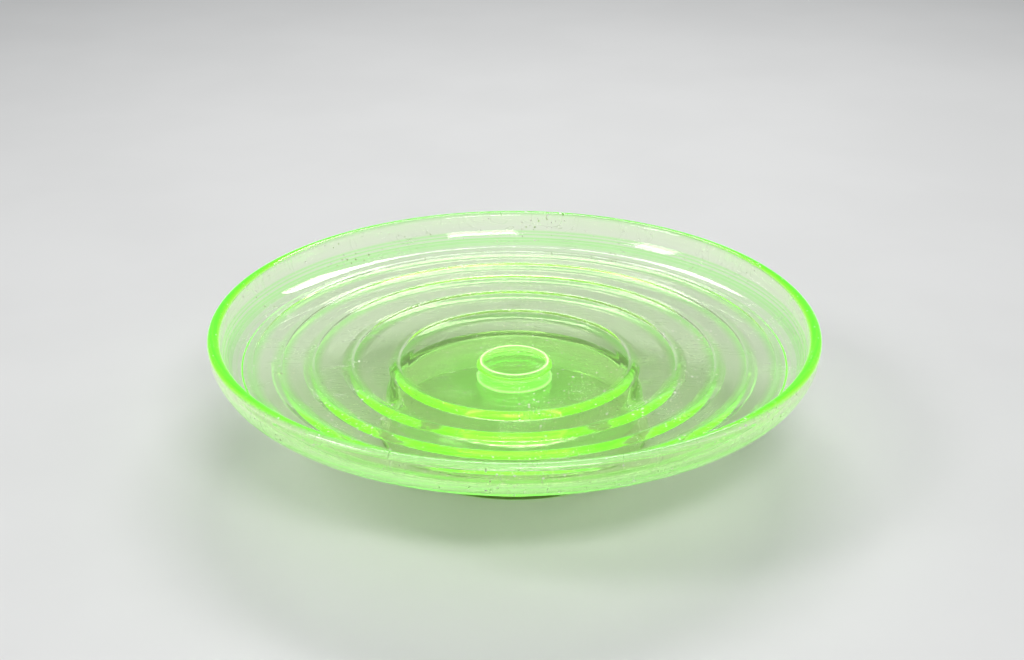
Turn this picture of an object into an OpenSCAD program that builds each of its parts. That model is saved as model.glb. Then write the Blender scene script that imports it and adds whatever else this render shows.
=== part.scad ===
// Low-footed pressed-glass dish: a shallow round plate with five concentric steps,
// a short solid stem and a hollow foot. Every piece is a body of revolution about Z.
// Millimetres, +Z up, origin at the centre of the face the foot rests on.

/* [Dish] */
// Outside diameter of the dish at the rim
dish_d = 250; // [200:1:310]
// Glass thickness in the middle of the dish
centre_t = 6.4; // [5.4:0.1:8]
// Glass thickness of the upturned wall
wall_t = 4.8; // [3.8:0.1:6.2]
// Radius of the curve that turns the underside up into the wall
wall_curve_r = 15.6; // [13.5:0.1:20]
// Height of the straight lip between the wall's curve and its rounded rim
lip_h = 0.5; // [0.3:0.1:3]

/* [Rings] */
// Width of the terrace between the first and second rings
terrace_1_w = 19; // [15:0.5:23]
// Width of the terrace between the second and third rings
terrace_2_w = 16; // [13:0.5:19.5]
// Width of the terrace between the third and fourth rings
terrace_3_w = 13; // [11.5:0.5:16]
// Width of the terrace between the fourth and fifth rings
terrace_4_w = 12; // [11.5:0.5:15]
// Width of the last terrace, between the fifth ring and the start of the underside's curve
terrace_5_w = 1.9; // [0.8:0.1:4]
// Height of each step in the upper face
step_h = 0.8; // [0.6:0.1:1.2]
// Width of the rounded shoulder of each step in the upper face
shoulder_w = 1.8; // [1.2:0.1:3]
// Height of each step in the underside
under_step_h = 1.35; // [1:0.05:1.6]
// Width of the rising curve of each step in the underside
under_step_w = 8.2; // [6:0.1:9]
// Slope at which each rising curve of the underside starts
under_start_slope = 5.5; // [0:0.5:6]
// How far the underside steps stand outside the upper ones
under_step_offset = 4.8; // [2:0.1:5]

/* [Stem] */
// Diameter of the stem at its waist
stem_d = 28; // [22:0.5:34]
// Height of the stem between the foot and the dish
stem_h = 5.7; // [5.7:0.1:12]
// How far the stem's top is let into the dish
stem_seat = 5; // [1:0.1:5]
// Radius of the flare under the dish
top_flare_r = 1.6; // [1:0.1:3.2]
// Radius of the flare above the foot
bottom_flare_r = 1.6; // [1:0.1:1.6]
// Thickness of the stem's edge at each end
stem_edge_t = 0.4; // [0.3:0.1:0.4]

/* [Foot] */
// Diameter of the foot where it rests
foot_d = 114; // [95:1:138]
// How far the foot leans in from its base to its shoulder
foot_lean = 3.5; // [1:0.5:8]
// Height of the foot in the middle, where the stem stands
foot_h = 22.5; // [19:0.5:30]
// How far the top of the foot falls from the stem to the shoulder
foot_fall = 2.2; // [1:0.1:4]
// Glass thickness of the foot
foot_t = 4.6; // [3.8:0.1:6]
// Radius of the foot's outer shoulder
foot_shoulder_r = 4; // [2.5:0.1:5]
// Radius inside the hollow of the foot, under its shoulder
hollow_shoulder_r = 2; // [1:0.1:2.5]
// Chamfer on both edges of the face the foot rests on
foot_chamfer = 0.8; // [0.4:0.1:1.2]

/* [Hidden] */
$fn = 180;

rim_r = dish_d / 2;
dish_z = foot_h + stem_h;

// Terraces are laid inwards from the wall; ring_r lists the rings outwards from the middle
terrace_w = [terrace_1_w, terrace_2_w, terrace_3_w, terrace_4_w, terrace_5_w];
rings = len(terrace_w);
function width_beyond(i) = i >= rings ? 0 : terrace_w[i] + width_beyond(i + 1);
ring_r = [for (i = [0 : rings - 1]) rim_r - wall_curve_r - width_beyond(i)];

// Upper face and underside of the terrace inside ring i
function top_z(i) = dish_z + centre_t + i * step_h;
function under_z(i) = dish_z + i * under_step_h;

// The inner wall's curve starts where the last step ends
inner_r = rim_r - wall_t;
inner_curve_r = inner_r - ring_r[rings - 1] - shoulder_w;
rim_z = lip_h + max(under_z(rings) + wall_curve_r, top_z(rings) + inner_curve_r);

// Radius of the arc that starts level and changes height by h over a width w
function arc_r(w, h) = (w * w + h * h) / (2 * h);
shoulder_r = arc_r(shoulder_w, step_h);

// The underside's rising arc goes from its start slope to an end slope
under_end_slope = 2 * atan(under_step_h / under_step_w) - under_start_slope;
under_r = under_step_w / (sin(under_end_slope) - sin(under_start_slope));

glass = [0.45, 0.86, 0.3];

// A rectangle from its lower-left to its upper-right corner
module box2(low, high) {
  translate(low) square(high - low);
}

// Half section of a round slab whose lower outer edge is rounded by r
module rounded_slab(outer, low, high, r) {
  box2([0, low], [outer - r, high]);
  box2([outer - r, low + r], [outer, high]);
  intersection() {
    box2([outer - r, low - 1], [outer + 1, low + r]);
    translate([outer - r, low + r]) circle(r);
  }
}

// The pit inside ring i, with the rounded shoulder that climbs to the next terrace
module pit_outline(i) {
  x = ring_r[i];
  low = top_z(i);
  high = top_z(i + 1);
  box2([0, low], [x, rim_z]);
  difference() {
    box2([x, low], [x + shoulder_w, high]);
    translate([x + shoulder_w, high - shoulder_r]) circle(shoulder_r);
  }
}

// One disc of the stepped underside: level, then a long rising arc out to its edge
module under_disc_outline(i) {
  edge = ring_r[i] + under_step_offset;
  flat = edge - under_step_w;
  low = under_z(i);
  high = top_z(rings);
  box2([0, low], [flat, high]);
  intersection() {
    box2([flat, low], [edge, high]);
    translate([flat, low] + under_r * [-sin(under_start_slope), cos(under_start_slope)])
      circle(under_r);
  }
}

module dish() {
  color(glass) rotate_extrude() {
    difference() {
      union() {
        for (i = [0 : rings - 1]) under_disc_outline(i);
        rounded_slab(rim_r, under_z(rings), rim_z, wall_curve_r);
      }
      for (i = [0 : rings - 1]) pit_outline(i);
      rounded_slab(inner_r, top_z(rings), rim_z + 1, inner_curve_r);
      box2([0, dish_z - 1], [stem_d / 2, dish_z + stem_seat]);
    }
    intersection() {
      translate([rim_r - wall_t / 2, rim_z]) circle(wall_t / 2);
      box2([inner_r - 1, rim_z], [rim_r + 1, rim_z + wall_t]);
    }
  }
}

// Half section of the hollow curve between the stem's waist and one end; turn is 1 or -1
module flare_outline(end_z, turn, r) {
  waist = stem_d / 2;
  centre_z = end_z - turn * (stem_edge_t + r);
  difference() {
    box2([waist, min(end_z, centre_z)], [waist + r, max(end_z, centre_z)]);
    translate([waist + r, centre_z]) circle(r);
  }
}

module stem() {
  color(glass) rotate_extrude() {
    box2([0, foot_h], [stem_d / 2, dish_z + stem_seat]);
    flare_outline(dish_z, 1, top_flare_r);
    flare_outline(foot_h, -1, bottom_flare_r);
  }
}

// Half section of a bell: a level seat in the middle, a sloping top, a round shoulder and a
// side that leans out to the base
module bell_outline(seat, top, shoulder, shoulder_z, base, round_r) {
  round_x = shoulder - round_r;
  round_z = shoulder_z - round_r;
  polygon([[0, 0], [base, 0], [shoulder, round_z], [round_x, shoulder_z], [seat, top], [0, top]]);
  intersection() {
    box2([round_x, round_z], [shoulder + 1, shoulder_z + 1]);
    translate([round_x, round_z]) circle(round_r);
  }
}

// What the chamfer takes from an edge of the resting face; side is 1 outside and -1 inside
module chamfer_outline(x, side) {
  reach = foot_chamfer + 1;
  polygon([[x + side, -1], [x + side, reach], [x - side * reach, -1]]);
}

module foot() {
  seat = stem_d / 2 + bottom_flare_r + 1;
  base = foot_d / 2;
  shoulder = base - foot_lean;
  shoulder_z = foot_h - foot_fall;
  color(glass) rotate_extrude() difference() {
    bell_outline(seat, foot_h, shoulder, shoulder_z, base, foot_shoulder_r);
    bell_outline(seat, foot_h - foot_t, shoulder - foot_t, shoulder_z - foot_t, base - foot_t,
      hollow_shoulder_r);
    chamfer_outline(base, 1);
    chamfer_outline(base - foot_t, -1);
  }
}

dish();
stem();
foot();
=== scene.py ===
"""A low-footed dish of green uranium glass: a stepped plate, a short stem and a hollow foot.

The three pieces are drawn as half sections and spun, each standing for the CAD node of its
name. Metres, +Z up, origin at the centre of the face that the foot rests on.
"""

import logging
import math
from dataclasses import dataclass, field
from enum import Enum
from typing import Any

import bmesh
import bpy
from mathutils import Matrix, Vector


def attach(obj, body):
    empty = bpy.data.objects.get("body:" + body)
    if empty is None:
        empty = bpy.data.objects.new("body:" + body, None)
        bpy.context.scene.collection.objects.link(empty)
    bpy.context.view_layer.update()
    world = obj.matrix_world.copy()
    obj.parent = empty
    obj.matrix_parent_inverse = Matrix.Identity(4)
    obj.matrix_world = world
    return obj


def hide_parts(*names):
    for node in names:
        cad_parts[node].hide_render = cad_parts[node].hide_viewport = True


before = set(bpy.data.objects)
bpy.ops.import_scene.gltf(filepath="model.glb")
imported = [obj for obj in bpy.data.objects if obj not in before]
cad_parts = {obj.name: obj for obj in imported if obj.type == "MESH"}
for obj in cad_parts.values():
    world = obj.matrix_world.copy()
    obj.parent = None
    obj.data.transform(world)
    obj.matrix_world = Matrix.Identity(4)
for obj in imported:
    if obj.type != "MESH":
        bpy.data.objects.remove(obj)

log = logging.getLogger("uranium_glass_dish")

MM = 0.001
ROOT_BODY = "root"

Colour = tuple[float, float, float]
Point = tuple[float, float]

# The driving sizes that the pieces and their painted glow zones share
FOOT_HEIGHT = 22.5 * MM
STEM_HEIGHT = 5.7 * MM
STEM_RADIUS = 14.0 * MM
STEM_SEAT = 5.0 * MM
RIM_RADIUS = 125.0 * MM
UNDERSIDE = FOOT_HEIGHT + STEM_HEIGHT
UNDER_STEP = 1.35 * MM
WALL_CURVE = 15.6 * MM
RING_RADII = (47.5 * MM, 66.5 * MM, 82.5 * MM, 95.5 * MM, 107.5 * MM)


class Piece(Enum):
    """The separate pieces of glass; each value is the name of its CAD node."""

    DISH = "dish"
    STEM = "stem"
    FOOT = "foot"

    @property
    def slot(self) -> str:
        """The record's material slot for this piece."""
        return f"{self.value}_glass"

    @property
    def object_name(self) -> str:
        """The name of the finished piece."""
        return f"glass_{self.value}"


class Turn(Enum):
    """Which way an arc runs in a half section drawn with X to the right and Z up."""

    LEFT = 1.0
    RIGHT = -1.0


# --- Shader expressions ---------------------------------------------------------------------


@dataclass(frozen=True)
class Signal:
    """A shader value that adds its own Math nodes when it is used in an expression."""

    bench: "NodeBench"
    socket: bpy.types.NodeSocket

    def _math(self, operation: str, *others: Any, reflected: bool = False) -> "Signal":
        """One Math node on this value and the others, in reversed order if reflected."""
        operands = (self, *others)
        return self.bench.math(operation, *(reversed(operands) if reflected else operands))

    def __add__(self, other: Any) -> "Signal":
        """This value plus another."""
        return self._math("ADD", other)

    def __radd__(self, other: Any) -> "Signal":
        """Another value plus this one."""
        return self._math("ADD", other, reflected=True)

    def __sub__(self, other: Any) -> "Signal":
        """This value less another."""
        return self._math("SUBTRACT", other)

    def __rsub__(self, other: Any) -> "Signal":
        """Another value less this one."""
        return self._math("SUBTRACT", other, reflected=True)

    def __mul__(self, other: Any) -> "Signal":
        """This value times another."""
        return self._math("MULTIPLY", other)

    def __pow__(self, other: Any) -> "Signal":
        """This value raised to a power."""
        return self._math("POWER", other)

    def __abs__(self) -> "Signal":
        """This value without its sign."""
        return self._math("ABSOLUTE")

    def rise(self, low: float, high: float) -> "Signal":
        """A smooth climb from 0 where this value is low to 1 where it is high."""
        node = self.bench.node(
            "ShaderNodeMapRange",
            {"interpolation_type": "SMOOTHSTEP"},
            {"Value": self, "From Min": low, "From Max": high},
        )
        return self.bench.signal(node, "Result")

    def band(self, centre: float, width: float) -> "Signal":
        """1 where this value is at the centre, falling smoothly to 0 at width away."""
        return 1.0 - abs(self - centre).rise(0.0, width)


@dataclass(frozen=True)
class NodeBench:
    """A material's node tree and the few ways that nodes are added to it."""

    tree: bpy.types.NodeTree

    def node(
        self,
        kind: str,
        settings: dict[str, Any] | None = None,
        inputs: dict[str | int, Any] | None = None,
    ) -> bpy.types.Node:
        """Adds any node.

        Args:
            kind: The node's type.
            settings: Its properties, set before its sockets.
            inputs: What each socket, by name or place, holds or is fed by.

        Returns:
            The new node.
        """
        made = self.tree.nodes.new(kind)
        for name, value in (settings or {}).items():
            setattr(made, name, value)
        for key, value in (inputs or {}).items():
            self.feed(made.inputs[key], value)
        return made

    def feed(self, socket: bpy.types.NodeSocket, value: Any) -> None:
        """Links a signal or socket into a socket, or sets a plain value on it."""
        source = value.socket if isinstance(value, Signal) else value
        if isinstance(source, bpy.types.NodeSocket):
            self.tree.links.new(source, socket)
        else:
            socket.default_value = source

    def signal(self, node: bpy.types.Node, output: str | int = 0) -> Signal:
        """A node's output, ready for expressions."""
        return Signal(self, node.outputs[output])

    def math(self, operation: str, *operands: Any) -> Signal:
        """One Math node."""
        node = self.node(
            "ShaderNodeMath", {"operation": operation}, dict(enumerate(operands))
        )
        return self.signal(node)

    def vector(self, operation: str, *operands: Any) -> bpy.types.NodeSocket:
        """One Vector Math node's vector output."""
        node = self.node(
            "ShaderNodeVectorMath", {"operation": operation}, dict(enumerate(operands))
        )
        return node.outputs["Vector"]

    def scaled_colour(self, colour: Colour, amount: Any) -> bpy.types.NodeSocket:
        """A colour made brighter or darker by a value."""
        node = self.node(
            "ShaderNodeVectorMath", {"operation": "SCALE"}, {0: colour, "Scale": amount}
        )
        return node.outputs["Vector"]

    def blend(self, low: Colour, high: Colour, amount: Any) -> bpy.types.NodeSocket:
        """A colour between two others.

        Args:
            low: The colour where amount is 0.
            high: The colour where amount is 1.
            amount: Where between them.

        Returns:
            The blended colour's socket.
        """
        node = self.node(
            "ShaderNodeMix",
            {"data_type": "RGBA", "clamp_factor": True},
            {"Factor": amount, 6: (*low, 1.0), 7: (*high, 1.0)},
        )
        return node.outputs[2]

    def noise(self, where: Any, scale: float, detail: float = 2.0, twist: float = 0.0) -> Signal:
        """Cloudy noise from 0 to 1.

        Args:
            where: The place it is read at.
            scale: Clouds per metre, roughly.
            detail: How many finer layers are added.
            twist: How far the clouds are stirred.

        Returns:
            The noise.
        """
        node = self.node(
            "ShaderNodeTexNoise",
            {"noise_dimensions": "3D"},
            {"Vector": where, "Scale": scale, "Detail": detail, "Distortion": twist},
        )
        return self.signal(node, "Fac")


# --- Finishes -------------------------------------------------------------------------------


@dataclass(frozen=True)
class SurfaceSpot:
    """Where a point of a piece is, as its glass is shaded.

    Attributes:
        radius: Its distance from the axis.
        height: Its height.
        lines: Fine lines left by the mould round the piece, from 0 to 1.
    """

    radius: Signal
    height: Signal
    lines: Signal


@dataclass(frozen=True)
class PaintedGlowZone:
    """A round zone of a piece where glow is painted in, standing in for trapped light and highlights.

    Attributes:
        radius: The zone's middle, as a distance from the axis.
        reach: How far from there the zone dies away.
        strength: How strong the zone is in its middle.
        above: The height that the zone starts at, where it has one.
        below: The height that the zone ends at, where it has one.
        fade: How far beyond those heights the zone dies away.
        curve_centre: The centre of the curved skin, as (radius, height), that the zone keeps
            to, where it has one.
        curve_radius: That skin's radius.
        skin_depth: How far from that skin the zone dies away.
        between_lines: How much of that skin's strength shows between the mould's lines.
        line_gain: How much more of it shows on a line.
    """

    radius: float
    reach: float
    strength: float
    above: float | None = None
    below: float | None = None
    fade: float = 1.0 * MM
    curve_centre: Point | None = None
    curve_radius: float = 0.0
    skin_depth: float = 2.0 * MM
    between_lines: float = 0.4
    line_gain: float = 0.8

    def amount(self, spot: SurfaceSpot) -> Signal:
        """How strong the zone is at a point.

        Args:
            spot: The point.

        Returns:
            The zone's strength there.
        """
        here = spot.radius.band(self.radius, self.reach) * self.strength
        if self.above is not None:
            here = here * spot.height.rise(self.above - self.fade, self.above)
        if self.below is not None:
            here = here * (1.0 - spot.height.rise(self.below, self.below + self.fade))
        if self.curve_centre is not None:
            across = spot.radius - self.curve_centre[0]
            up = spot.height - self.curve_centre[1]
            from_centre = (across * across + up * up) ** 0.5
            skin = from_centre.band(self.curve_radius, self.skin_depth)
            here = here * skin * (self.between_lines + spot.lines * self.line_gain)
        return here


def zone_total(zones: tuple[PaintedGlowZone, ...], spot: SurfaceSpot) -> Signal | float:
    """How strong several zones are together at a point.

    Args:
        zones: The zones.
        spot: The point.

    Returns:
        Their strengths added up, or plain 0 where there are no zones.
    """
    total: Signal | float = 0.0
    for zone in zones:
        total = zone.amount(spot) + total
    return total


@dataclass(frozen=True)
class UraniumGlass:
    """Polished green glass that takes up red and blue light, and a painted glow of trapped light.

    The glow is painted in as emission, standing in for the glass's fluorescence and trapped light: a
    little light is given off at each meeting with the surface, so it stays faint where light goes
    straight through and adds up in edges that hold it by total reflection.

    Attributes:
        name: The material's name.
        ior: The glass's index of refraction.
        clear_colour: The surface's tint.
        streak_colour: Its tint in the faint streaks.
        depth_colour: The colours that get through the glass.
        density: How fast it takes up the others, per metre.
        glow_colour: The colour of the painted glow.
        glow: The painted light given off at each meeting with the surface.
        zones: Where more glow and a deeper green are painted in, standing in for trapped light.
        painted_zone_glow: The extra painted light given off in a zone of strength 1.
        painted_zone_tint: The painted deeper green of a zone of strength 1, standing in for trapped
            light.
        painted_pale_colour: The colour of the painted pale glow.
        painted_pale_glow: Where a pale glow is painted in, standing in for whitish highlights.
        dust_colour: The colour of dust and of scratches that catch the light.
        dust_cover: How much of the glass a speck hides.
        dust_cells: Cells along a metre, each of which holds one speck at most.
        speck_size: The largest speck's radius, as a part of its cell.
        scratch_cover: How much of the glass a scratch hides.
        scratch_grain: The directions that scratches lie in, as (degrees, scale).
        scratch_stretch: How much finer the scratches' pattern is across them.
        scratch_width: How wide a scratch is, as a part of its pattern's range.
        gloss_roughness: The roughness of clean glass.
        waviness: The height of the mould's slow waves, in millimetres.
        handling: How worn and dusty the piece is.
        mould_lines: Fine lines that the mould left, per metre, roughly.
        turning_marks: How deep the fine concentric marks are; 0 leaves them out.
        turning_lines: Those marks, per metre, roughly.
        seed: Shifts every pattern.
    """

    name: str
    ior: float = 1.5
    clear_colour: Colour = (1.0, 1.0, 0.99)
    streak_colour: Colour = (0.98, 1.0, 0.965)
    depth_colour: Colour = (0.66, 1.0, 0.0)
    density: float = 26.0
    # Painted light: the glow, the zones' deeper green and the pale glow stand in for fluorescence,
    # trapped light and highlights.
    glow_colour: Colour = (0.48, 1.0, 0.14)
    glow: float = 0.042
    zones: tuple[PaintedGlowZone, ...] = ()
    painted_zone_glow: float = 0.16
    painted_zone_tint: Colour = (0.07, 0.85, 0.01)
    painted_pale_colour: Colour = (0.8, 1.0, 0.62)
    painted_pale_glow: tuple[PaintedGlowZone, ...] = ()
    dust_colour: Colour = (0.92, 0.9, 0.84)
    dust_cover: float = 0.9
    dust_cells: float = 500.0
    speck_size: float = 0.28
    scratch_cover: float = 0.3
    scratch_grain: tuple[Point, ...] = ((12.0, 38.0), (101.0, 46.0))
    scratch_stretch: float = 5.0
    scratch_width: float = 0.0035
    gloss_roughness: float = 0.015
    waviness: float = 0.25
    handling: float = 1.0
    mould_lines: float = 750.0
    turning_marks: float = 0.0
    turning_lines: float = 1400.0
    seed: float = 0.0

    def make(self) -> bpy.types.Material:
        """Builds the material.

        Returns:
            The finished material.
        """
        material = bpy.data.materials.new(self.name)
        material.use_nodes = True
        material.cycles.emission_sampling = "NONE"
        material.node_tree.nodes.clear()
        bench = NodeBench(material.node_tree)
        where = self._place(bench)
        scratches = self._scratches(bench, where)
        clouds = bench.noise(where, scale=26.0, twist=0.8)
        specks = self._specks(bench, where, clouds)
        spot = self._spot(bench)
        # How much painted glow and deeper green the zones lay on at this point.
        zones = zone_total(self.zones, spot)
        shader = bench.node(
            "ShaderNodeBsdfPrincipled",
            None,
            {
                "Base Color": self._tint(bench, clouds, zones),
                "Roughness": self._roughness(scratches, clouds),
                "IOR": self.ior,
                "Transmission Weight": 1.0,
                # Painted glow: emission standing in for the glass's fluorescence and trapped light.
                "Emission Color": self._glow(bench, clouds, spot, zones),
                "Emission Strength": 1.0,
                "Normal": self._surface(bench, where, scratches),
            },
        )
        dust = bench.node(
            "ShaderNodeBsdfPrincipled",
            None,
            {"Base Color": (*self.dust_colour, 1.0), "Roughness": 0.7 + clouds * 0.2},
        )
        marked = bench.node(
            "ShaderNodeMixShader",
            None,
            {
                0: specks + scratches * self.scratch_cover,
                1: shader.outputs["BSDF"],
                2: dust.outputs["BSDF"],
            },
        )
        depth = bench.node(
            "ShaderNodeVolumeAbsorption",
            None,
            {"Color": (*self.depth_colour, 1.0), "Density": self.density},
        )
        bench.node(
            "ShaderNodeOutputMaterial",
            None,
            {"Surface": marked.outputs["Shader"], "Volume": depth.outputs["Volume"]},
        )
        return material

    def _place(self, bench: NodeBench) -> bpy.types.NodeSocket:
        """Where on the piece a point is, shifted so that no two pieces share a pattern."""
        node = bench.node("ShaderNodeTexCoord")
        shift = (self.seed * 0.31, self.seed * 0.17, self.seed * 0.23)
        return bench.vector("ADD", node.outputs["Object"], shift)

    def _spot(self, bench: NodeBench) -> SurfaceSpot:
        """Reads where the point being shaded is on the piece."""
        coordinates = bench.node("ShaderNodeTexCoord")
        at = bench.node("ShaderNodeSeparateXYZ", None, {0: coordinates.outputs["Object"]})
        x, y, z = (bench.signal(at, axis) for axis in "XYZ")
        radius = (x * x + y * y) ** 0.5
        profile = bench.node("ShaderNodeCombineXYZ", None, {"X": radius, "Y": z})
        lines = bench.noise(profile.outputs["Vector"], self.mould_lines, detail=1.0).rise(0.4, 0.6)
        return SurfaceSpot(radius, z, lines)

    def _tint(self, bench: NodeBench, clouds: Signal, zones: Signal | float) -> bpy.types.NodeSocket:
        """Faint streaks left where the gather was folded, and a painted deeper green in the zones."""
        streaks = bench.blend(self.streak_colour, self.clear_colour, clouds.rise(0.3, 0.75))
        if not self.zones:
            return streaks
        # The zones' deeper green is painted in, standing in for the light trapped there.
        node = bench.node(
            "ShaderNodeMix",
            {"data_type": "RGBA", "clamp_factor": True},
            {"Factor": zones, 6: streaks, 7: (*self.painted_zone_tint, 1.0)},
        )
        return node.outputs[2]

    def _scratches(self, bench: NodeBench, where: Any) -> Signal:
        """Fine hair scratches from use, broken up and lying in two directions."""
        total: Signal | None = None
        for degrees, scale in self.scratch_grain:
            turned = bench.node(
                "ShaderNodeMapping",
                None,
                {
                    "Vector": where,
                    "Rotation": (0.0, 0.0, math.radians(degrees)),
                    "Scale": (1.0, self.scratch_stretch, 1.0),
                },
            )
            drift = bench.noise(turned.outputs["Vector"], scale, detail=1.0)
            stroke = 1.0 - abs(drift - 0.5).rise(0.0, self.scratch_width)
            total = stroke if total is None else total + stroke
        broken = bench.noise(where, scale=60.0, detail=0.0).rise(0.5, 0.6)
        return total * broken * self.handling

    def _specks(self, bench: NodeBench, where: Any, clouds: Signal) -> Signal:
        """Specks of dust a few tenths of a millimetre across, gathered in drifts."""
        cells = bench.node(
            "ShaderNodeTexVoronoi",
            {"feature": "F1", "voronoi_dimensions": "3D"},
            {"Vector": where, "Scale": self.dust_cells, "Randomness": 1.0},
        )
        tone = bench.node("ShaderNodeSeparateColor", None, {0: cells.outputs["Color"]})
        drift = clouds.rise(0.4, 0.75)
        size = (bench.signal(tone, 0) + drift * 0.4).rise(0.6, 1.3) * self.speck_size
        grain = bench.signal(cells, "Distance")
        return bench.math("LESS_THAN", grain, size) * (self.dust_cover * self.handling)

    def _roughness(self, scratches: Signal, clouds: Signal) -> Signal:
        """Near-perfect polish, spoilt a little by wear and smears."""
        smears = clouds.rise(0.55, 0.8) * (0.02 * self.handling)
        return self.gloss_roughness + scratches * 0.1 + smears

    def _glow(
        self, bench: NodeBench, clouds: Signal, spot: SurfaceSpot, zones: Signal | float
    ) -> bpy.types.NodeSocket:
        """The painted green glow, slightly uneven, with a painted pale glow standing in for
        highlights.
        """
        glow = (0.8 + clouds * 0.4) * (self.glow + zones * self.painted_zone_glow)
        light = bench.scaled_colour(self.glow_colour, glow)
        # Painted pale glow, standing in for whitish highlights.
        if self.painted_pale_glow:
            pale = bench.scaled_colour(self.painted_pale_colour, zone_total(self.painted_pale_glow, spot))
            light = bench.vector("ADD", light, pale)
        return light

    def _surface(self, bench: NodeBench, where: Any, scratches: Signal) -> bpy.types.NodeSocket:
        """The surface's small unevenness: slow waves of the mould, turning marks, scratches."""
        waves = bench.noise(where, scale=22.0, detail=1.0) * (self.waviness * MM)
        height = waves - scratches * (0.012 * MM)
        if self.turning_marks > 0:
            height = height + self._turning(bench, where)
        bump = bench.node(
            "ShaderNodeBump", None, {"Strength": 1.0, "Distance": 1.0, "Height": height}
        )
        return bump.outputs["Normal"]

    def _turning(self, bench: NodeBench, where: Any) -> Signal:
        """Fine concentric marks in the surface, strongest in the middle of the plate."""
        flat = bench.vector("MULTIPLY", where, (1.0, 1.0, 0.0))
        length = bench.node("ShaderNodeVectorMath", {"operation": "LENGTH"}, {0: flat})
        radius = bench.signal(length, "Value")
        along = bench.node("ShaderNodeCombineXYZ", None, {"X": radius})
        grooves = bench.noise(along.outputs["Vector"], self.turning_lines)
        return grooves * (self.turning_marks * 0.004 * MM)


@dataclass(frozen=True)
class PaleFloor:
    """A plain pale matt floor with the faintest mottling.

    Attributes:
        name: The material's name.
        colour: The paler colour of the mottling.
        shade: The darker one.
    """

    name: str = "pale_floor"
    colour: Colour = (0.74, 0.74, 0.73)
    shade: Colour = (0.72, 0.72, 0.71)

    def make(self) -> bpy.types.Material:
        """Builds the material.

        Returns:
            The finished material.
        """
        material = bpy.data.materials.new(self.name)
        material.use_nodes = True
        material.node_tree.nodes.clear()
        bench = NodeBench(material.node_tree)
        where = bench.node("ShaderNodeTexCoord").outputs["Object"]
        mottle = bench.noise(where, scale=9.0, detail=5.0)
        grain = bench.noise(where, scale=900.0)
        bump = bench.node(
            "ShaderNodeBump", None, {"Strength": 0.05, "Distance": 0.2 * MM, "Height": grain}
        )
        shader = bench.node(
            "ShaderNodeBsdfPrincipled",
            None,
            {
                "Base Color": bench.blend(self.shade, self.colour, mottle.rise(0.35, 0.65)),
                "Roughness": 0.55 + grain * 0.1,
                "Normal": bump.outputs["Normal"],
            },
        )
        bench.node("ShaderNodeOutputMaterial", None, {"Surface": shader.outputs["BSDF"]})
        return material


# --- Half sections --------------------------------------------------------------------------


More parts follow.
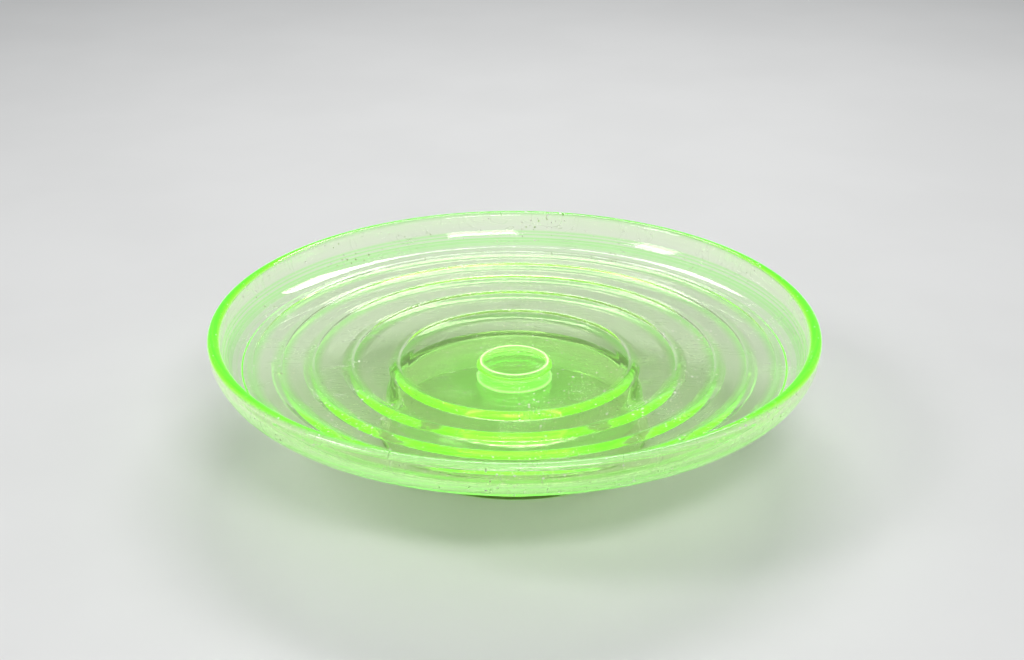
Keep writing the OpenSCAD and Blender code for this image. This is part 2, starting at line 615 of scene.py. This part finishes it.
@dataclass
class SectionPen:
    """Draws a half section in the XZ plane and spins it into a closed solid.

    Attributes:
        guard: How far from each end a straight run gets an extra point, so that smooth
            shading stays level along it.
    """

    guard: float = 0.35 * MM
    mesh: bmesh.types.BMesh = field(default_factory=bmesh.new)
    tip: bmesh.types.BMVert | None = None
    corners: list[tuple[bmesh.types.BMVert, float]] = field(default_factory=list)

    def start(self, at: Point) -> None:
        """Puts the pen down at (x, z)."""
        self.tip = self.mesh.verts.new((at[0], 0.0, at[1]))

    @property
    def at(self) -> Point:
        """Where the pen is, as (x, z)."""
        return self.tip.co.x, self.tip.co.z

    def _step(self, x: float, z: float) -> None:
        """One straight edge to (x, z)."""
        made = bmesh.ops.extrude_vert_indiv(self.mesh, verts=[self.tip])
        self.tip = made["verts"][0]
        self.tip.co = (x, 0.0, z)

    def line(self, to: Point, rounded: float = 0.0) -> None:
        """Draws a straight run.

        Args:
            to: Where it ends, as (x, z).
            rounded: How much of the corner at its end is rounded off later.
        """
        here, there = Vector(self.at), Vector(to)
        run = there - here
        inset = self.guard + rounded
        if run.length > 3.0 * (inset + self.guard):
            along = run.normalized()
            self._step(*(here + along * self._last_inset()))
            self._step(*(there - along * inset))
        self._step(*there)
        if rounded > 0.0:
            self.corners.append((self.tip, rounded))

    def _last_inset(self) -> float:
        """The guard distance past the corner that the pen stands on."""
        rounded = next((size for vert, size in self.corners if vert == self.tip), 0.0)
        return self.guard + rounded

    def arc(self, centre: Point, degrees: float, turn: Turn, steps: int, rounded: float = 0.0) -> None:
        """Draws an arc about a centre.

        Args:
            centre: The arc's centre, as (x, z).
            degrees: How far it goes round.
            turn: Which way it runs.
            steps: Its number of edges.
            rounded: How much of the corner at its end is rounded off later.
        """
        made = bmesh.ops.spin(
            self.mesh,
            geom=[self.tip],
            cent=(centre[0], 0.0, centre[1]),
            axis=(0.0, -1.0, 0.0),
            angle=math.radians(degrees) * turn.value,
            steps=steps,
            use_duplicate=False,
        )
        self.tip = next(g for g in made["geom_last"] if isinstance(g, bmesh.types.BMVert))
        if rounded > 0.0:
            self.corners.append((self.tip, rounded))

    def round_corners(self, segments: int = 4) -> None:
        """Rounds every corner that was marked while drawing."""
        for vert, size in self.corners:
            bmesh.ops.bevel(
                self.mesh,
                geom=[vert],
                offset=size,
                offset_type="OFFSET",
                segments=segments,
                profile=0.5,
                affect="VERTICES",
                material=-1,
            )
        self.corners.clear()

    def spin_solid(self, name: str, segments: int) -> bpy.types.Object:
        """Spins the section about Z into a closed solid.

        Args:
            name: The new object's name.
            segments: How many steps make the full turn.

        Returns:
            The finished object, smooth-shaded, with its faces outwards.
        """
        self.round_corners()
        bmesh.ops.spin(
            self.mesh,
            geom=list(self.mesh.verts) + list(self.mesh.edges),
            cent=(0.0, 0.0, 0.0),
            axis=(0.0, 0.0, 1.0),
            angle=math.tau,
            steps=segments,
            use_merge=True,
            use_duplicate=False,
        )
        bmesh.ops.remove_doubles(self.mesh, verts=self.mesh.verts, dist=0.002 * MM)
        bmesh.ops.recalc_face_normals(self.mesh, faces=self.mesh.faces)
        for face in self.mesh.faces:
            face.smooth = True
        data = bpy.data.meshes.new(name)
        self.mesh.to_mesh(data)
        self.mesh.free()
        made = bpy.data.objects.new(name, data)
        bpy.context.scene.collection.objects.link(made)
        return made


# --- The glass ------------------------------------------------------------------------------


@dataclass
class GlassPiece:
    """What every piece of glass shares.

    Attributes:
        piece: Which piece this is.
        finish: Its glass.
        segments: How many steps make the full turn.
        joint_overlap: How far a piece reaches into the one it is joined to, so that light
            goes from one to the other with no air between.
    """

    piece: Piece
    finish: UraniumGlass
    segments: int = 240
    joint_overlap: float = 0.25 * MM

    def section(self) -> SectionPen:
        """The piece's half section, drawn from the axis round to the axis."""
        raise NotImplementedError

    def build(self) -> bpy.types.Object:
        """Builds, dresses and places the piece.

        Returns:
            The finished object, riding on the part's one body.
        """
        made = self.section().spin_solid(self.piece.object_name, self.segments)
        made.data.materials.append(self.finish.make())
        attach(made, ROOT_BODY)
        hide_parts(self.piece.value)
        return made


def arc_radius(width: float, height: float) -> float:
    """The radius of the arc that starts level and changes height over a width."""
    return (width * width + height * height) / (2.0 * height)


def arc_degrees(width: float, radius: float) -> float:
    """How far an arc that starts level goes round by the time it has gone width along."""
    return math.degrees(math.asin(width / radius))


@dataclass
class SteppedDish(GlassPiece):
    """The shallow plate: five concentric steps above and below, and an upturned wall."""

    rim_radius: float = RIM_RADIUS
    underside: float = UNDERSIDE
    centre_thickness: float = 6.4 * MM
    wall_thickness: float = 4.8 * MM
    wall_curve: float = WALL_CURVE
    lip: float = 0.5 * MM
    ring_radii: tuple[float, ...] = RING_RADII
    step: float = 0.8 * MM
    shoulder: float = 1.8 * MM
    under_step: float = UNDER_STEP
    under_width: float = 8.2 * MM
    under_start: float = 5.5
    under_offset: float = 4.8 * MM
    stem_radius: float = STEM_RADIUS
    stem_seat: float = STEM_SEAT
    shoulder_foot: float = 0.25 * MM
    under_edge: float = 0.2 * MM

    def _top(self, i: int) -> float:
        """The height of the upper face inside ring i."""
        return self.underside + self.centre_thickness + i * self.step

    def _under(self, i: int) -> float:
        """The height of the underside inside ring i."""
        return self.underside + i * self.under_step

    def section(self) -> SectionPen:
        """The dish's half section: the stem's seat, the underside, the wall, the upper face."""
        pen = SectionPen()
        pen.start((0.0, self.underside + self.stem_seat))
        pen.line((self.stem_radius, self.underside + self.stem_seat))
        pen.line((self.stem_radius, self.underside))
        self._draw_underside(pen)
        self._draw_wall(pen)
        self._draw_upper_face(pen)
        return pen

    def _draw_underside(self, pen: SectionPen) -> None:
        """Draws the stepped underside, out to where the wall's curve takes over."""
        start = math.radians(self.under_start)
        end = 2.0 * math.atan(self.under_step / self.under_width) - start
        radius = self.under_width / (math.sin(end) - math.sin(start))
        for i, ring in enumerate(self.ring_radii):
            flat = ring + self.under_offset - self.under_width
            centre = (flat - radius * math.sin(start), self._under(i) + radius * math.cos(start))
            pen.line((flat, self._under(i)), rounded=self.under_edge)
            pen.arc(centre, math.degrees(end - start), Turn.LEFT, steps=10, rounded=self.under_edge)

    def _draw_wall(self, pen: SectionPen) -> None:
        """Draws the wall's outer curve, its rounded rim and its inner curve."""
        curve_x = self.rim_radius - self.wall_curve
        curve_z = self._under(len(self.ring_radii)) + self.wall_curve
        started = arc_degrees(pen.at[0] - curve_x, self.wall_curve)
        pen.line((pen.at[0], curve_z - self.wall_curve * math.cos(math.radians(started))))
        pen.arc((curve_x, curve_z), 90.0 - started, Turn.LEFT, steps=26)
        rim_z = curve_z + self.lip
        pen.line((self.rim_radius, rim_z))
        pen.arc((self.rim_radius - self.wall_thickness / 2.0, rim_z), 180.0, Turn.LEFT, steps=24)
        inner = self.rim_radius - self.wall_thickness
        inner_x = self.ring_radii[-1] + self.shoulder
        inner_z = self._top(len(self.ring_radii)) + inner - inner_x
        pen.line((inner, inner_z))
        pen.arc((inner_x, inner_z), 90.0, Turn.RIGHT, steps=22)

    def _draw_upper_face(self, pen: SectionPen) -> None:
        """Draws the upper face inwards, down a rounded shoulder at each ring."""
        radius = arc_radius(self.shoulder, self.step)
        sweep = arc_degrees(self.shoulder, radius)
        for i in reversed(range(len(self.ring_radii))):
            start = self.ring_radii[i] + self.shoulder
            high = self._top(i + 1)
            if pen.at[0] - start > self.shoulder_foot:
                pen.line((start, high))
            pen.arc((start, high - radius), sweep, Turn.LEFT, steps=8, rounded=self.shoulder_foot)
        pen.line((0.0, self._top(0)))


@dataclass
class SpoolStem(GlassPiece):
    """The short solid stem, let into the dish, with a flare below it and one on the foot."""

    base: float = FOOT_HEIGHT
    height: float = STEM_HEIGHT
    waist: float = STEM_RADIUS
    seat: float = STEM_SEAT
    top_flare: float = 1.6 * MM
    bottom_flare: float = 1.6 * MM
    edge: float = 0.4 * MM

    def section(self) -> SectionPen:
        """The stem's half section, from its foot to its top."""
        pen = SectionPen()
        top = self.base + self.height
        bottom_z = self.base + self.edge + self.bottom_flare
        top_z = top - self.edge - self.top_flare
        pen.start((0.0, self.base - self.joint_overlap))
        pen.line((self.waist + self.bottom_flare, self.base - self.joint_overlap))
        pen.line((self.waist + self.bottom_flare, self.base + self.edge))
        pen.arc((self.waist + self.bottom_flare, bottom_z), 90.0, Turn.RIGHT, steps=10)
        pen.line((self.waist, top_z))
        pen.arc((self.waist + self.top_flare, top_z), 90.0, Turn.RIGHT, steps=14)
        pen.line((self.waist + self.top_flare, top + self.joint_overlap))
        pen.line((self.waist + self.joint_overlap, top + self.joint_overlap))
        pen.line((self.waist + self.joint_overlap, top + self.seat + self.joint_overlap))
        pen.line((0.0, top + self.seat + self.joint_overlap))
        return pen


@dataclass
class HollowFoot(GlassPiece):
    """The foot: a squat hollow bell with a sloping top and a side that leans out."""

    base: float = 57.0 * MM
    lean: float = 3.5 * MM
    height: float = FOOT_HEIGHT
    fall: float = 2.2 * MM
    thickness: float = 4.6 * MM
    shoulder: float = 4.0 * MM
    hollow_shoulder: float = 2.0 * MM
    seat: float = 16.6 * MM
    rest_edge: float = 0.8 * MM
    soft_corner: float = 0.3 * MM

    def section(self) -> SectionPen:
        """The foot's half section: the hollow outwards, the base, then the outside inwards."""
        pen = SectionPen()
        shoulder = self.base - self.lean
        shoulder_z = self.height - self.fall
        hollow_x = shoulder - self.thickness - self.hollow_shoulder
        hollow_z = shoulder_z - self.thickness - self.hollow_shoulder
        pen.start((0.0, self.height - self.thickness))
        pen.line((self.seat, self.height - self.thickness), rounded=self.soft_corner)
        pen.line((hollow_x, hollow_z + self.hollow_shoulder))
        pen.arc((hollow_x, hollow_z), 90.0, Turn.RIGHT, steps=10)
        pen.line((self.base - self.thickness, 0.0), rounded=self.rest_edge)
        pen.line((self.base, 0.0), rounded=self.rest_edge)
        pen.line((shoulder, shoulder_z - self.shoulder))
        pen.arc((shoulder - self.shoulder, shoulder_z - self.shoulder), 90.0, Turn.LEFT, steps=14)
        pen.line((self.seat, self.height), rounded=self.soft_corner)
        pen.line((0.0, self.height))
        return pen


# --- The studio -----------------------------------------------------------------------------


@dataclass(frozen=True)
class SoftBox:
    """A rectangular soft light aimed at a point.

    Attributes:
        name: The light's name.
        place: Where it hangs.
        width: Its width.
        depth: Its other side.
        watts: Its power.
        aim: The point that it faces.
    """

    name: str
    place: tuple[float, float, float]
    width: float
    depth: float
    watts: float
    aim: tuple[float, float, float] = (0.0, 0.0, 0.03)

    def build(self) -> bpy.types.Object:
        """Builds and aims the light, which glass and floor see but the camera doesn't.

        Returns:
            The light.
        """
        data = bpy.data.lights.new(self.name, "AREA")
        data.shape = "RECTANGLE"
        data.size = self.width
        data.size_y = self.depth
        data.energy = self.watts
        made = bpy.data.objects.new(self.name, data)
        away = Vector(self.place) - Vector(self.aim)
        aimed = away.to_track_quat("Z", "Y").to_matrix().to_4x4()
        made.matrix_world = Matrix.Translation(self.place) @ aimed
        made.visible_camera = False
        bpy.context.scene.collection.objects.link(made)
        return made


@dataclass(frozen=True)
class Studio:
    """The floor, the surrounding light, the soft boxes and the camera.

    Attributes:
        floor_size: The length of the floor's sides.
        air_colour: The colour of the surrounding light.
        air_strength: The strength of the surrounding light.
        lens: The camera's focal length, in millimetres.
        camera_place: Where the camera stands.
        camera_pitch: How far it looks down, in degrees.
        reflections: How often light may be turned before it is given up; it may pass through
            a surface half as often.
        lights: The soft boxes.
    """

    floor_size: float = 8.0
    air_colour: Colour = (0.93, 0.96, 1.0)
    air_strength: float = 0.3
    lens: float = 60.75
    camera_place: tuple[float, float, float] = (-0.001, -0.6475, 0.346)
    camera_pitch: float = 24.73
    reflections: int = 32
    lights: tuple[SoftBox, ...] = (
        SoftBox("front_box", (0.22, -0.75, 0.85), width=0.5, depth=0.22, watts=5.0),
        SoftBox("left_box", (-0.75, -0.25, 0.75), width=0.3, depth=0.3, watts=3.0),
        SoftBox("back_box", (0.1, 0.6, 0.75), width=0.6, depth=0.2, watts=4.0),
    )

    def build_floor(self) -> bpy.types.Object:
        """Builds the floor just under the foot.

        Returns:
            The floor.
        """
        mesh = bmesh.new()
        bmesh.ops.create_grid(mesh, x_segments=4, y_segments=4, size=self.floor_size / 2.0)
        data = bpy.data.meshes.new("floor")
        mesh.to_mesh(data)
        mesh.free()
        floor = bpy.data.objects.new("floor", data)
        floor.data.materials.append(PaleFloor().make())
        bpy.context.scene.collection.objects.link(floor)
        return floor

    def build_air(self) -> None:
        """Fills the room with plain soft light."""
        world = bpy.data.worlds.new("studio_air")
        world.use_nodes = True
        world.node_tree.nodes.clear()
        bench = NodeBench(world.node_tree)
        back = bench.node(
            "ShaderNodeBackground",
            None,
            {"Color": (*self.air_colour, 1.0), "Strength": self.air_strength},
        )
        bench.node("ShaderNodeOutputWorld", None, {"Surface": back.outputs["Background"]})
        bpy.context.scene.world = world

    def build_camera(self) -> bpy.types.Object:
        """Builds the camera and makes it the scene's own.

        Returns:
            The camera.
        """
        data = bpy.data.cameras.new("camera")
        data.lens = self.lens
        data.sensor_width = 36.0
        data.clip_start = 0.01
        data.clip_end = 50.0
        camera = bpy.data.objects.new("camera", data)
        tilt = Matrix.Rotation(math.radians(90.0 - self.camera_pitch), 4, "X")
        camera.matrix_world = Matrix.Translation(self.camera_place) @ tilt
        bpy.context.scene.collection.objects.link(camera)
        bpy.context.scene.camera = camera
        return camera

    def build(self) -> None:
        """Builds the whole studio."""
        self.build_floor()
        self.build_air()
        self.build_camera()
        for light in self.lights:
            light.build()
        bpy.context.scene.view_settings.view_transform = "Standard"
        self.let_light_run()

    def let_light_run(self) -> None:
        """Lets light that is caught inside the glass be reflected often enough to reach an edge."""
        paths = bpy.context.scene.cycles
        paths.max_bounces = self.reflections
        paths.glossy_bounces = self.reflections
        paths.transmission_bounces = self.reflections // 2


# --- Putting it together --------------------------------------------------------------------


WALL_CURVE_CENTRE = (
    RIM_RADIUS - WALL_CURVE,
    UNDERSIDE + len(RING_RADII) * UNDER_STEP + WALL_CURVE,
)
# Painted glow and deeper green at each step of the underside, standing in for the light trapped in the
# ring bands.
UNDER_RING_PAINTED_GLOW = tuple(
    PaintedGlowZone(
        radius=radius + 0.7 * MM,
        reach=4.6 * MM,
        strength=0.6,
        below=UNDERSIDE + 2.4 * MM + i * UNDER_STEP,
    )
    for i, radius in enumerate(RING_RADII)
)
# Painted glow along the rim's bead, standing in for light trapped there.
RIM_PAINTED_GLOW = PaintedGlowZone(radius=122.6 * MM, reach=3.0 * MM, strength=0.8, above=52.2 * MM)
# Painted glow on the outer skin of the wall's lower curve, striped by the mould's lines, standing in
# for light trapped there.
LOWER_WALL_PAINTED_GLOW = PaintedGlowZone(
    radius=121.0 * MM,
    reach=14.0 * MM,
    strength=0.6,
    above=37.0 * MM,
    below=42.5 * MM,
    fade=2.0 * MM,
    curve_centre=WALL_CURVE_CENTRE,
    curve_radius=WALL_CURVE,
)
DISH_PAINTED_GLOW = (*UNDER_RING_PAINTED_GLOW, RIM_PAINTED_GLOW, LOWER_WALL_PAINTED_GLOW)
# Painted glow in the stem, standing in for light trapped there.
STEM_PAINTED_GLOW = (PaintedGlowZone(radius=15.0 * MM, reach=3.0 * MM, strength=0.8, below=26.0 * MM),)
# Painted pale glow: whitish rings at the stem's flares, standing in for highlights.
STEM_PAINTED_PALE_GLOW = (
    PaintedGlowZone(radius=14.4 * MM, reach=1.8 * MM, strength=0.8, above=33.0 * MM, fade=0.6 * MM),
    PaintedGlowZone(radius=15.6 * MM, reach=1.4 * MM, strength=0.5, below=23.0 * MM, fade=0.5 * MM),
    PaintedGlowZone(radius=14.2 * MM, reach=1.0 * MM, strength=0.05),
)
# Painted glow over the foot's top, and round its shoulder, where it paints light over the dark edge
# left by the shaded floor seen through it.
FOOT_PAINTED_GLOW = (
    PaintedGlowZone(radius=17.0 * MM, reach=36.0 * MM, strength=0.7, above=19.0 * MM),
    PaintedGlowZone(radius=53.0 * MM, reach=6.0 * MM, strength=0.5, above=13.0 * MM),
)


def main() -> None:
    """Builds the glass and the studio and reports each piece."""
    logging.basicConfig(level=logging.INFO, format="%(name)s: %(message)s")
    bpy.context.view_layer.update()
    pieces: tuple[GlassPiece, ...] = (
        SteppedDish(Piece.DISH, UraniumGlass("dish_glass", turning_marks=1.0, zones=DISH_PAINTED_GLOW)),
        SpoolStem(
            Piece.STEM,
            UraniumGlass("stem_glass", handling=0.3, seed=3.0, zones=STEM_PAINTED_GLOW, painted_pale_glow=STEM_PAINTED_PALE_GLOW),
        ),
        HollowFoot(Piece.FOOT, UraniumGlass("foot_glass", handling=0.5, seed=7.0, zones=FOOT_PAINTED_GLOW)),
    )
    for piece in pieces:
        made = piece.build()
        log.info("%s: %d faces", made.name, len(made.data.polygons))
    Studio().build()
    bpy.context.view_layer.update()


if __name__ == "__main__":
    main()
